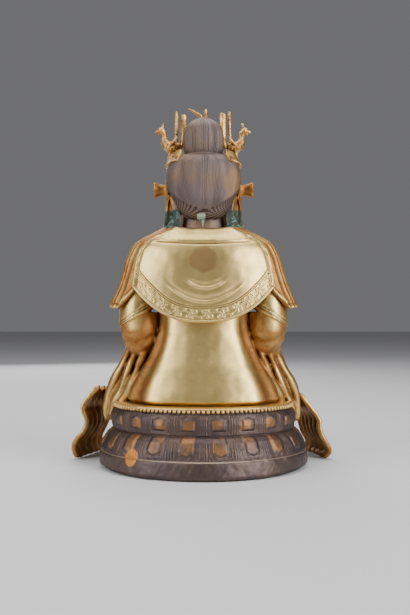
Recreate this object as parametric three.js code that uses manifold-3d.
// A gilt bronze deity, seated cross-legged on a double-lotus plinth and wearing a phoenix crown.
// Millimetres, +Z up. The origin is the middle of the plinth's underside. The figure faces -Y.
// Three castings: the lotus plinth, the figure with its robes, and the crown with its three birds.

import * as THREE from "three";
import { mergeVertices } from "three/addons/utils/BufferGeometryUtils.js";
import Module from "manifold-3d";

const wasm = await Module();
wasm.setup();

const { PI, abs, cos, max, min, sign, sin } = Math;
const X_AXIS = new THREE.Vector3(1, 0, 0);
const Y_AXIS = new THREE.Vector3(0, 1, 0);

// Driving dimensions.
const FOOT_HALF_WIDTH = 66.5; // the plinth at the ground, along X
const FOOT_HALF_DEPTH = 62.5; // the plinth at the ground, along Y
const SEAT_Z = 41; // the plinth's flat top
const PETALS = 20; // in each of the plinth's two rows
const CASTING_GAP = 0.4; // between one casting and the next
const SLEEVE_SHEET = 3.2; // thickness of the cloth that hangs at the sides
const HEM_SHEET = 2.6; // of the skirt's hem
const CROWN_SHEET = 2.2; // of the crown's band and plaque
const WING_SHEET = 1.3; // of a bird's wing

// Where the shoulders' axis stands, behind the middle of the plinth.
const TRUNK_Y = 1.5;

// Heights that the robes, the head and the crown are set out from.
const WAIST_Z = SEAT_Z + 46;
const NECK_Z = SEAT_Z + 110;
const HEAD_Z = SEAT_Z + 140;
const BUN_Z = SEAT_Z + 169;
const CROWN_Z = SEAT_Z + 159.4; // the feet of the birds at its sides

// Columns of numbers read as a smooth curve through the rows; t runs from 0 to 1.
function along(rows, t) {
  const place = t * (rows.length - 1);
  const i = min(Math.floor(place), rows.length - 2);
  const f = place - i;
  const row = (k) => rows[max(0, min(rows.length - 1, k))];
  return rows[0].map((_, column) => {
    const [a, b, c, d] = [i - 1, i, i + 1, i + 2].map((k) => row(k)[column]);
    const cubic = 3 * (b - c) + d - a;
    const square = 2 * a - 5 * b + 4 * c - d;
    return b + 0.5 * f * (c - a + f * (square + f * cubic));
  });
}

// A smooth hump of height 1 at the middle, 0 beyond the reach.
const hump = (distance, reach) => (abs(distance) < reach ? 0.5 + 0.5 * cos((PI * distance) / reach) : 0);

// A rounded square's cosine and sine: power 2 is an ellipse, and more is squarer.
const squared = (angle, power) => [cos(angle), sin(angle)].map((n) => sign(n) * abs(n) ** (2 / power));

// A plain closed geometry whose corners are moved to where place(corner) puts them.
function shaped(geometry, place) {
  geometry.deleteAttribute("normal");
  geometry.deleteAttribute("uv");
  const merged = mergeVertices(geometry, 1e-5);
  const corners = merged.attributes.position;
  const corner = new THREE.Vector3();
  for (let i = 0; i < corners.count; i++) {
    corner.copy(place(corner.fromBufferAttribute(corners, i)));
    corners.setXYZ(i, corner.x, corner.y, corner.z);
  }
  return merged;
}

// A body swept through stations [x, y, z, half width, half depth]. Its width lies along "across".
function sweep(stations, { across = X_AXIS, sides = 12, steps = 6, power = 2, grow = 0 } = {}) {
  const point = (t) => new THREE.Vector3(...along(stations, max(0, min(1, t))));
  return shaped(new THREE.CylinderGeometry(1, 1, 1, sides, steps), (corner) => {
    const t = corner.y + 0.5;
    const [, , , halfWidth, halfDepth] = along(stations, t);
    const tangent = point(t + 0.01).sub(point(t - 0.01)).normalize();
    const wide = across.clone().addScaledVector(tangent, -across.dot(tangent)).normalize();
    const deep = tangent.clone().cross(wide);
    const radius = Math.hypot(corner.x, corner.z);
    const [c, s] = squared(Math.atan2(corner.z, corner.x), power).map((n) => n * radius);
    const centre = point(t).addScaledVector(wide, c * (halfWidth + grow));
    return centre.addScaledVector(deep, s * (halfDepth + grow));
  });
}

// The point at (u, v) of a surface, moved off it along its normal.
function offSurface(surface, u, v, distance) {
  const step = 1e-3;
  const alongU = surface(u + step, v).sub(surface(u - step, v));
  const alongV = surface(u, min(1, v + step)).sub(surface(u, max(0, v - step)));
  return surface(u, v).addScaledVector(alongU.cross(alongV).normalize(), distance);
}

// A sheet of even thickness on surface(u, v), with u and v from 0 to 1.
function sheet(surface, { columns = 12, rows = 6, thickness = SLEEVE_SHEET } = {}) {
  return shaped(new THREE.BoxGeometry(1, 1, 1, columns, rows, 1), ({ x, y, z }) =>
    offSurface(surface, x + 0.5, y + 0.5, z * thickness),
  );
}

// A solid whose skin is surface(u, v), where u goes right round. Its ends close onto two points.
function skinned(surface, ends, { columns = 24, rows = 6 } = {}) {
  return shaped(new THREE.CylinderGeometry(1, 1, 1, columns, rows), ({ x, y, z }) => {
    const v = 0.5 - y;
    const atMiddle = Math.hypot(x, z) < 0.5;
    return atMiddle ? ends[Math.round(v)] : surface(Math.atan2(z, x) / (2 * PI), v);
  });
}

// The solid that a closed geometry bounds, whichever way its faces were turned.
function solid(geometry) {
  const vertProperties = geometry.attributes.position.array;
  const made = [geometry.index.array, geometry.index.array.toReversed()].map((corners) => {
    const triVerts = new Uint32Array(corners);
    return new wasm.Manifold(new wasm.Mesh({ numProp: 3, vertProperties, triVerts }));
  });
  return made.find((one) => one.volume() > 0);
}

const join = (geometries) => geometries.map(solid).reduce((all, one) => all.add(one));

// The casting without the hollows that its parts close in between them.
const outerShell = (manifold) => manifold.decompose().reduce((a, b) => (a.volume() > b.volume() ? a : b));

function geometryOf(manifold) {
  const { vertProperties, triVerts } = manifold.getMesh();
  const geometry = new THREE.BufferGeometry();
  geometry.setAttribute("position", new THREE.BufferAttribute(vertProperties, 3));
  geometry.setIndex(new THREE.BufferAttribute(triVerts, 1));
  return geometry;
}

// The plinth: a foot band, a lower row of petals that point down, a waist, an upper row that points
// up, and a rim. A row is [height, inset of the width, inset of the depth, share of petal relief].
const PLINTH_PROFILE = [
  [0, 5, 5, 0],
  [0.4, 0, 0, 0],
  [2.6, -0.4, 0, 0],
  [9.8, -0.6, 1.4, 0],
  [11, 1.4, 3.4, 0.2],
  [12.6, 1, 4, 1],
  [17, 2.4, 5.2, 1],
  [21.4, 5, 7.8, 1],
  [24.2, 8.6, 11.4, 0],
  [25.6, 8.2, 11.6, 0.8],
  [30.5, 7.8, 11.4, 1],
  [35.4, 8.2, 11.8, 1],
  [37, 9.6, 13, 0],
  [39, 8.4, 12.4, 0],
  [40.4, 9, 13, 0],
  [SEAT_Z, 10, 14, 0],
];
const PETAL_RELIEF = 1.1;
const PETAL_SHARE = 0.72; // of the pitch between petals, before the narrow ridges in between
const GROOVE_SHARE = 0.3; // of the relief that is left between petals
const SAMPLES_PER_PETAL = 4;
const FOOT_LIFT = 1.8; // where the worn edge of the foot stands off the ground
const FOOT_LIFT_REACH = 0.62; // in radians, around a middle a little behind each side
const FOOT_LIFT_TURN = 0.45;

function footLift(x, z) {
  const behindSide = Math.atan2(z, abs(x));
  return FOOT_LIFT * hump(behindSide - FOOT_LIFT_TURN, FOOT_LIFT_REACH);
}

function plinthBody(grow = 0) {
  const sides = PETALS * (grow ? 2 : SAMPLES_PER_PETAL);
  const levels = PLINTH_PROFILE.length - 1;
  return shaped(new THREE.CylinderGeometry(1, 1, 1, sides, levels), ({ x, y, z }) => {
    const level = Math.round((y + 0.5) * levels);
    const [height, insetX, insetY, relief] = PLINTH_PROFILE[level];
    const turn = Math.atan2(z, x) / (2 * PI) + 1;
    const fromPetalMiddle = 2 * abs(((turn * PETALS) % 1) - 0.5);
    const raised = relief * PETAL_RELIEF * (fromPetalMiddle < PETAL_SHARE ? 1 : GROOVE_SHARE);
    const out = grow ? grow + PETAL_RELIEF : raised;
    const lift = level === 1 ? footLift(x, z) : 0;
    const over = level === levels ? grow : 0;
    const [halfWidth, halfDepth] = [FOOT_HALF_WIDTH - insetX + out, FOOT_HALF_DEPTH - insetY + out];
    return new THREE.Vector3(x * halfWidth, z * halfDepth, height + lift + over);
  });
}

// The trunk under the robe, seen from behind as a smooth bell that spreads over the seat.
const TRUNK = [
  [0, 5, SEAT_Z - 2, 47, 35],
  [0, 5, SEAT_Z + 4, 48, 35.5],
  [0, 4.5, SEAT_Z + 15, 43, 32.5],
  [0, 3.5, SEAT_Z + 29, 34.5, 28.5],
  [0, 3, WAIST_Z, 28.8, 24.5],
  [0, 3, WAIST_Z + 12, 28.8, 23.5],
  [0, 3, WAIST_Z + 26, 31, 22],
];

const NECK = [
  [0, 1.5, NECK_Z - 6, 15, 13.5],
  [0, 0, NECK_Z + 16, 13.6, 12.4],
];

// The face's own form, plain and calm: chin, cheeks, temples and forehead.
const FACE = [
  [0, -12, HEAD_Z - 25.5, 5, 4],
  [0, -9.5, HEAD_Z - 23, 11, 10.5],
  [0, -6, HEAD_Z - 18, 16, 16],
  [0, -3.6, HEAD_Z - 10, 19.4, 20.4],
  [0, -2.6, HEAD_Z, 20.6, 22.4],
  [0, -2, HEAD_Z + 9, 20, 22],
  [0, -1, HEAD_Z + 17, 15, 16],
  [0, 0, HEAD_Z + 21, 5, 5],
];

// The combed mass of hair behind and over the head, and the wide knot on its crown.
const HAIR = [
  [0, 11, HEAD_Z - 24.5, 13, 7],
  [0, 10.5, HEAD_Z - 19, 16, 10.5],
  [0, 8, HEAD_Z - 14, 19.6, 15],
  [0, 5.6, HEAD_Z - 7, 22.6, 18.2],
  [0, 4, HEAD_Z + 1, 24, 20.2],
  [0, 3.2, HEAD_Z + 9, 23.2, 20.4],
  [0, 2.6, HEAD_Z + 15, 20, 17.6],
  [0, 2.4, HEAD_Z + 19.4, 14, 13],
  [0, 2.4, HEAD_Z + 21, 6, 6],
];
const BUN = [
  [0, 3, BUN_Z - 14, 7, 7],
  [0, 3, BUN_Z - 10.5, 10.6, 10.6],
  [0, 3, BUN_Z - 5, 12.8, 12.8],
  [0, 3, BUN_Z + 1, 13, 13],
  [0, 3, BUN_Z + 7, 11.4, 11.4],
  [0, 3, BUN_Z + 11.6, 7, 7],
  [0, 3, BUN_Z + 13, 1.6, 1.6],
];

function headBodies(grow = 0) {
  return [
    sweep(FACE, { sides: 12, steps: 7, grow }),
    sweep(HAIR, { sides: 16, steps: 6, power: 2.2, grow }),
    sweep(BUN, { sides: 12, steps: 5, power: 2.2, grow }),
  ];
}

// The nose, as a wedge from the brow to its tip.
const NOSE = [
  [0, -23, HEAD_Z + 1, 1.6, 1.6],
  [0, -25, HEAD_Z - 5, 2, 2.2],
  [0, -25.6, HEAD_Z - 9, 3, 2.8],
  [0, -23.6, HEAD_Z - 11.6, 2, 1.4],
];

const PLUG_Z = HEAD_Z - 4.4;
const PLUG_OUTER_X = 32.8;
const PLUG_RADIUS = 5;
const PLUG_STEM_RADIUS = 2.7;

// What hangs beside the face: a long ear, its round flower-shaped plug, a lock of hair and a ribbon.
function besideHead(side) {
  const ear = [
    [side * 21.5, -1, HEAD_Z + 5, 1.6, 3],
    [side * 22.8, 0, HEAD_Z - 1, 2.4, 4.6],
    [side * 22, 0, HEAD_Z - 10, 2.4, 3.2],
    [side * 20.6, -1, HEAD_Z - 19, 1.2, 1.6],
  ];
  const plugRings = [
    [12.8, PLUG_STEM_RADIUS],
    [4.4, PLUG_STEM_RADIUS],
    [3.2, PLUG_RADIUS],
    [0.8, PLUG_RADIUS],
    [0, PLUG_RADIUS / 2],
  ];
  const plug = plugRings.map(([inset, r]) => [side * (PLUG_OUTER_X - inset), 1, PLUG_Z, r, r]);
  const lock = [
    [side * 18, 7, HEAD_Z - 12, 3, 3],
    [side * 17.4, 8, HEAD_Z - 20, 3.4, 3],
    [side * 18.6, 7, NECK_Z - 2, 5, 3.4],
  ];
  const ribbon = [
    [side * 22, 4, HEAD_Z - 8, 1.6, 1.8],
    [side * 23.6, 4, HEAD_Z - 18, 1.6, 2],
    [side * 24.6, 3, NECK_Z - 3, 2, 2.6],
  ];
  return [
    sweep(ear, { sides: 6, steps: 4 }),
    sweep(plug, { sides: 8, steps: plugRings.length - 1, across: Y_AXIS }),
    sweep(lock, { sides: 5, steps: 2 }),
    sweep(ribbon, { sides: 5, steps: 2 }),
  ];
}

// The shoulder cape goes right round the shoulders and is cut in lobes at its hem. Its shape is
// given every CAPE_STEP below the neckline as [half width, depth behind, depth in front].
const CAPE_STEP = 6;
const CAPE_SHAPE = [
  [24, 17, 14],
  [33.6, 22, 17.5],
  [43.4, 25.6, 20],
  [47.2, 27.8, 22],
  [49.6, 29, 23],
  [51.2, 29.6, 24],
  [53.2, 29.8, 24.7],
  [55.4, 30, 25.4],
  [58.2, 30.2, 26],
  [60.4, 30.4, 26.5],
  [61, 30.6, 27],
];
const CAPE_TOP_Z = NECK_Z + 3;
const CAPE_TOP_DIP = 3.6; // of the neckline behind and in front
const CAPE_SQUARENESS = 2.35;
const CAPE_HOLLOW_Z = NECK_Z - 34; // the middle of the shallow hollow under its hem
// The back lobe lies over the side lobes, and a neckband lies over both.
const BACK_LOBE_EDGE = 42; // in degrees round from the side
const BACK_LOBE_RAISED = 1.8;
const NECKBAND_DROP = 9.5;
const NECKBAND_RAISED = 1.2;
const NECKBAND_EDGE = 0.8; // the height over which its lower edge falls away
// The hem, from the side to the middle of the back and to the middle of the front, as
// [degrees round from the side, drop below the foot of the neck].
const HEM_BEHIND = [
  [0, 49],
  [14, 50],
  [28, 50],
  [36, 41],
  [41, 36],
  [43, 38.6],
  [51, 48],
  [61, 54],
  [75, 58],
  [90, 59],
];
const HEM_BEFORE = [
  [0, 49],
  [15, 48],
  [30, 41],
  [45, 41],
  [60, 45],
  [75, 48],
  [90, 49],
];
const CAPE_COLUMNS = 2 * (HEM_BEHIND.length + HEM_BEFORE.length - 2);
const CAPE_ROWS = 7;

// Column k of the cape; the columns run from one side over the back, then over the front.
function capeColumn(k) {
  const back = k <= 2 * (HEM_BEHIND.length - 1);
  const rows = back ? HEM_BEHIND : HEM_BEFORE;
  const place = back ? k : k - 2 * (HEM_BEHIND.length - 1);
  const firstHalf = place < rows.length;
  const [degrees, hemDrop] = rows[firstHalf ? place : 2 * (rows.length - 1) - place];
  const turned = (back ? 0 : 180) + (firstHalf ? degrees : 180 - degrees);
  return { angle: (turned * PI) / 180, hemZ: NECK_Z - hemDrop, lobe: back && degrees > BACK_LOBE_EDGE };
}

function cape(u, v) {
  const { angle, hemZ, lobe } = capeColumn(Math.round((u + 1) * CAPE_COLUMNS) % CAPE_COLUMNS);
  const top = CAPE_TOP_Z - CAPE_TOP_DIP * sin(angle) ** 2;
  const row = Math.round(v * CAPE_ROWS);
  const onBand = row < 2;
  const belowBand = (top - NECKBAND_DROP - hemZ) * ((row - 2) / (CAPE_ROWS - 2));
  const drop = onBand ? row * (NECKBAND_DROP - NECKBAND_EDGE) : NECKBAND_DROP + belowBand;
  const raised = (onBand ? NECKBAND_RAISED * sin(angle) ** 4 : 0) + (lobe ? BACK_LOBE_RAISED : 0);
  const [halfWidth, behind, before] = along(CAPE_SHAPE, drop / (CAPE_STEP * (CAPE_SHAPE.length - 1)));
  const [c, s] = squared(angle, CAPE_SQUARENESS);
  const x = c * (halfWidth + raised);
  return new THREE.Vector3(x, TRUNK_Y + s * ((s > 0 ? behind : before) + raised), top - drop);
}

// An arm: a short outer sleeve cut on the slant, and the full inner sleeve bent forward to the lap.
const OUTER_SLEEVE = [
  [38.6, 3, WAIST_Z + 39, 10, 13],
  [41, 4, WAIST_Z + 21, 12, 14.6],
  [42, 4.6, WAIST_Z + 7.6, 12.6, 15],
];
const SLEEVE_HEM_SLOPE = 0.42; // fall of the hem for each millimetre outwards
const INNER_SLEEVE = [
  [40, 5, WAIST_Z + 11, 12, 13],
  [40.2, 5, WAIST_Z - 1, 12.6, 13],
  [38.6, 1.6, WAIST_Z - 9.6, 10.6, 11],
  [33, -12, WAIST_Z - 12.6, 9.6, 10],
  [22, -27, WAIST_Z - 13.4, 9.2, 10.4],
  [12, -34.6, WAIST_Z - 14, 8.6, 10.6],
  [5, -36.6, WAIST_Z - 14.4, 6.4, 8.4],
];

// The slanted hem: corners near the end of the outer sleeve drop with their distance outwards.
function outerSleeve(side) {
  const tube = sweep(OUTER_SLEEVE.map(([x, ...rest]) => [side * x, ...rest]), { steps: 3 });
  const [hemX, , hemZ] = OUTER_SLEEVE.at(-1);
  return shaped(tube, ({ x, y, z }) => {
    const nearHem = max(0, 1 - (z - hemZ) / (OUTER_SLEEVE[0][2] - hemZ)) ** 2;
    return new THREE.Vector3(x, y, z - SLEEVE_HEM_SLOPE * (side * x - hemX) * nearHem);
  });
}

// The crossed legs under the robe, one rounded mass that is widest at the knees and dips in the lap.
// A row is [share of the outline, height], from the seat up and in.
const LEG_ROWS = [
  [0.93, SEAT_Z - 1],
  [0.99, SEAT_Z + 5],
  [1, SEAT_Z + 12],
  [0.95, SEAT_Z + 19],
  [0.8, SEAT_Z + 24],
  [0.5, SEAT_Z + 22],
];
const LEG_MIDDLE_Y = -17;
const LEG_HALF_WIDTH = 60;
const LEG_HALF_DEPTH = 40;

function legs(u, v) {
  const [share, z] = LEG_ROWS[Math.round(v * (LEG_ROWS.length - 1))];
  const [c, s] = squared(2 * PI * u, 2.5);
  return new THREE.Vector3(c * LEG_HALF_WIDTH * share, LEG_MIDDLE_Y + s * LEG_HALF_DEPTH * share, z);
}

// The sleeve's tail: hanging cloth from the forearm, over the thigh and down past the plinth's rim.
// Each row is a level: the rear edge's x, y, z, then the front edge's x, y, z.
const SLEEVE_TAIL = [
  [38, 8, SEAT_Z + 38, 22, -32, SEAT_Z + 31],
  [43.6, 8, SEAT_Z + 27, 34, -44, SEAT_Z + 23],
  [49.6, 6, SEAT_Z + 16, 46, -49, SEAT_Z + 15],
  [56, 3, SEAT_Z + 5, 52, -50, SEAT_Z + 8],
  [61, -0.6, SEAT_Z - 5, 55, -51, SEAT_Z],
  [62, -3, SEAT_Z - 14.6, 57, -51, SEAT_Z - 7],
];
const TAIL_BULGE = 9.4;
const TAIL_FOLDS = 4;
const TAIL_FOLD_DEPTH = 1.2;
const TAIL_NARROWER = 0.97; // the tail on the figure's right hangs a little closer in

function sleeveTail(side) {
  return (u, v) => {
    const [x0, y0, z0, x1, y1, z1] = along(SLEEVE_TAIL, v);
    const bulge = TAIL_BULGE * sin(PI * u) * sin(PI * (0.25 + 0.6 * v));
    const fold = TAIL_FOLD_DEPTH * v * cos(2 * PI * TAIL_FOLDS * u);
    const x = (x0 + (x1 - x0) * u + bulge + fold) * (side > 0 ? 1 : TAIL_NARROWER);
    return new THREE.Vector3(side * x, y0 + (y1 - y0) * u, z0 + (z1 - z0) * u);
  };
}

// The fluted end of the robe that fans out beside the plinth.
// Each row is a level: the outer edge's x, y, z, then the inner edge's x, y, z.
const ROBE_END_LEFT = [
  [70.6, -9, 47.5, 58, -40, 46],
  [76, -9, 36, 64, -44, 36],
  [77.4, -10, 25, 68, -45, 24],
  [82.6, -12, 13.4, 71, -47, 12],
  [84.8, -14, 1.6, 72, -50, 1.4],
];
const ROBE_END_RIGHT = [
  [64.4, -9, 43, 56, -40, 44],
  [71.6, -9, 34, 63, -44, 34],
  [76.6, -10, 22, 68, -45, 22],
  [82, -12, 10, 71, -47, 11],
  [82.4, -14, 1.6, 73, -50, 1.4],
];
const END_FLUTES = 4;
const END_FLUTE_DEPTH = 1.8;

function robeEnd(rows, side) {
  return (u, v) => {
    const [x0, y0, z0, x1, y1, z1] = along(rows, v);
    const flute = END_FLUTE_DEPTH * (0.3 + 0.7 * v) * cos(2 * PI * END_FLUTES * u);
    const x = x0 + (x1 - x0) * u + 0.8 * flute;
    return new THREE.Vector3(side * x, y0 + (y1 - y0) * u + 0.6 * flute, z0 + (z1 - z0) * u);
  };
}

// The hem of the skirt, hanging over the front of the plinth in soft pleats with a scalloped edge.
const HEM_HALF_ANGLE = 0.92;
const HEM_TOP_Z = SEAT_Z + 7;
const HEM_DROP = 22; // in the middle
const HEM_END_RISE = 6; // of its lower edge at its two ends
const HEM_INSET = 8.2; // of its top from the plinth's foot
const HEM_FLARE = 5.6; // outwards, over its drop
const HEM_PLEATS = 6;
const HEM_PLEAT_DEPTH = 1.2;
const HEM_SCALLOP = 1.6;

function frontHem(u, v) {
  const turn = (2 * u - 1) * HEM_HALF_ANGLE;
  const pleat = cos(2 * PI * HEM_PLEATS * (u - 0.5));
  const inset = HEM_INSET - v * (HEM_FLARE + HEM_PLEAT_DEPTH * pleat);
  const drop = HEM_DROP - HEM_END_RISE * abs(2 * u - 1) + HEM_SCALLOP * pleat;
  const x = sin(turn) * (FOOT_HALF_WIDTH - inset);
  return new THREE.Vector3(x, -cos(turn) * (FOOT_HALF_DEPTH - inset), HEM_TOP_Z - drop * v);
}

// Hands laid one on the other in the lap, between the cuffs.
const HANDS = [
  [-13, -39, SEAT_Z + 29, 5, 3.4],
  [-5, -42.6, SEAT_Z + 29.4, 6.4, 4.2],
  [5, -42.6, SEAT_Z + 29.4, 6.4, 4.2],
  [13, -39, SEAT_Z + 29, 5, 3.4],
];

function figureBodies() {
  const at = (z) => new THREE.Vector3(0, TRUNK_Y, z);
  const mirrored = (stations, side) => stations.map(([x, ...rest]) => [side * x, ...rest]);
  const bodies = [
    sweep(TRUNK, { sides: 20, steps: 6, power: 2.1 }),
    sweep(NECK, { sides: 10, steps: 1 }),
    ...headBodies(),
    sweep(NOSE, { sides: 6, steps: 3 }),
    skinned(cape, [at(NECK_Z), at(CAPE_HOLLOW_Z)], { columns: CAPE_COLUMNS, rows: CAPE_ROWS }),
    skinned(legs, [at(SEAT_Z - 1), at(SEAT_Z + 20)], { columns: 20, rows: LEG_ROWS.length - 1 }),
    sweep(HANDS, { sides: 7, steps: 3, across: Y_AXIS }),
    sheet(frontHem, { columns: 4 * HEM_PLEATS, rows: 1, thickness: HEM_SHEET }),
    sheet(robeEnd(ROBE_END_LEFT, 1), { columns: 2 * END_FLUTES, rows: 4 }),
    sheet(robeEnd(ROBE_END_RIGHT, -1), { columns: 2 * END_FLUTES, rows: 4 }),
  ];
  for (const side of [1, -1]) {
    bodies.push(
      ...besideHead(side),
      outerSleeve(side),
      sweep(mirrored(INNER_SLEEVE, side), { sides: 10, steps: 6 }),
      sheet(sleeveTail(side), { columns: 2 * TAIL_FOLDS, rows: 4 }),
    );
  }
  return bodies;
}

// The crown: a band over the front of the head, a leaf-shaped plaque, and three phoenixes.
const BAND_HALF_ANGLE = 2.4; // from the middle of the forehead round to each end
const BAND_FOOT_Z = CROWN_Z - 11;
const BAND_HEIGHT = 7;
const BAND_RISE = 4; // of its ends over its middle
const BAND_LEAN = 3.6; // inwards, over its height
const BAND_HALF_WIDTH = 23.6;
const BAND_IN_FRONT = 27.4;
const BAND_BEHIND = 22;

function band(u, v) {
  const turn = (2 * u - 1) * BAND_HALF_ANGLE;
  const rise = 0.5 * BAND_RISE * (1 - cos(turn));
  const lean = BAND_LEAN * v;
  const depth = (cos(turn) > 0 ? BAND_IN_FRONT : BAND_BEHIND) - lean;
  const x = sin(turn) * (BAND_HALF_WIDTH - lean);
  return new THREE.Vector3(x, 1 - cos(turn) * depth, BAND_FOOT_Z + rise + BAND_HEIGHT * v);
}

// A phoenix in its own frame: breast towards +X, feet at the origin, tail plumes held upright.
const BIRD_BODY = [
  [-5, 0, 6, 1.2, 1.4],
  [-1.6, 0, 4.6, 2.8, 2.8],
  [2.4, 0, 4.8, 3.6, 3.2],
  [5, 0, 8, 2.8, 2.4],
  [5, 0, 11.8, 1.9, 1.7],
  [7, 0, 14.6, 2.5, 2.3],
  [10.4, 0, 13.8, 0.8, 0.8],
];
const BIRD_CREST = [
  [6.4, 0, 14.6, 1.1, 1.1],
  [5.2, 0, 17.4, 1, 1],
  [6, 0, 19.8, 0.4, 0.5],
];
const BIRD_STAND = [
  [1.6, 0, -5, 2.6, 2.6],
  [1.6, 0, 4, 2, 2],
];
// Each plume is [distance behind the feet, offset to the side, height of its tip].
const BIRD_PLUMES = [
  [-2.6, 0.4, 27.8],
  [-7, -2.4, 26],
];
const PLUME_HALF_WIDTH = 1.7;
const PLUME_HALF_DEPTH = 1.2;
const PLUME_TIP = 0.7;
const RUMP_Z = 3.4; // where the plumes leave the body

function plume([x, y, tip]) {
  const stations = [
    [x + 2, 0, RUMP_Z, PLUME_HALF_DEPTH, PLUME_HALF_DEPTH],
    [x + 0.4, y, tip * 0.4, PLUME_HALF_WIDTH, PLUME_HALF_DEPTH],
    [x, y, tip * 0.84, PLUME_HALF_WIDTH, PLUME_HALF_DEPTH],
    [x + 0.3, y, tip, PLUME_TIP, PLUME_TIP],
  ];
  return sweep(stations, { sides: 5, steps: 3 });
}

// A folded wing lies along the body and rises behind. It is on the side that half, 1 or -1, says.
const WING_SHOULDER = [3, 2, 4.4];
const WING_LENGTH = 6;
const WING_SPREAD = 2;
const WING_RISE = 2.4;
const WING_WIDTH = 5; // at its tip

function wing(half) {
  const [shoulderX, shoulderY, shoulderZ] = WING_SHOULDER;
  const surface = (u, v) => {
    const y = shoulderY + WING_SPREAD * v + 1.2 * u;
    const z = shoulderZ + WING_RISE * v + (WING_WIDTH * v - 1.2) * u;
    return new THREE.Vector3(shoulderX - WING_LENGTH * v, half * y, z);
  };
  return sheet(surface, { columns: 1, rows: 1, thickness: WING_SHEET });
}

// Where each bird stands, and the way its breast points.
const BIRDS = [
  { feet: [20, -1, CROWN_Z], heading: 0 },
  { feet: [-19.4, -1, CROWN_Z], heading: PI },
  { feet: [0, -19, CROWN_Z + 5], heading: -PI / 2 },
];

function phoenix({ feet, heading }) {
  const parts = [
    sweep(BIRD_BODY, { sides: 6, steps: 6, across: Y_AXIS }),
    sweep(BIRD_CREST, { sides: 4, steps: 1 }),
    sweep(BIRD_STAND, { sides: 5, steps: 1 }),
    wing(1),
    wing(-1),
    ...BIRD_PLUMES.map(plume),
  ];
  const placed = new THREE.Matrix4().makeRotationZ(heading).setPosition(...feet);
  return parts.map((geometry) => geometry.applyMatrix4(placed));
}

// The leaf-shaped plaque over the middle of the forehead.
const PLAQUE_FOOT_Z = CROWN_Z - 7;
const PLAQUE_HEIGHT = 14;
const PLAQUE_HALF_WIDTH = 6.4;
const PLAQUE_TIP = 0.5;
const PLAQUE_FRONT_Y = -25;
const PLAQUE_LEAN = 3; // backwards, over its height
const PLAQUE_BOW = 1.6; // backwards, from its middle to its edges

function plaque(u, v) {
  const across = 2 * u - 1;
  const halfWidth = PLAQUE_HALF_WIDTH * (1 - v ** 1.6) + PLAQUE_TIP;
  const y = PLAQUE_FRONT_Y + PLAQUE_LEAN * v + PLAQUE_BOW * across ** 2;
  return new THREE.Vector3(across * halfWidth, y, PLAQUE_FOOT_Z + PLAQUE_HEIGHT * v);
}

const crownBodies = () => [
  sheet(band, { columns: 12, rows: 1, thickness: CROWN_SHEET }),
  sheet(plaque, { columns: 4, rows: 2, thickness: CROWN_SHEET }),
  ...BIRDS.flatMap(phoenix),
];

// Finishes, as seen on the worn gilding.
const finish = (color, roughness) => new THREE.MeshStandardMaterial({ color, roughness, metalness: 1 });
const GILT = finish(0xb08a42, 0.35);
const CROWN_GILT = finish(0xa97c3c, 0.4);
const DARK_BRONZE = finish(0x4a3830, 0.5);

function piece(name, manifold, material) {
  const mesh = new THREE.Mesh(geometryOf(manifold), material);
  mesh.name = name;
  return mesh;
}

const plinth = solid(plinthBody());
const figure = outerShell(join(figureBodies()).subtract(solid(plinthBody(CASTING_GAP))));
const crown = outerShell(join(crownBodies()).subtract(join(headBodies(CASTING_GAP))));

const statuette = new THREE.Group();
statuette.add(piece("lotus_plinth", plinth, DARK_BRONZE));
statuette.add(piece("seated_figure", figure, GILT));
statuette.add(piece("phoenix_crown", crown, CROWN_GILT));

export default statuette;
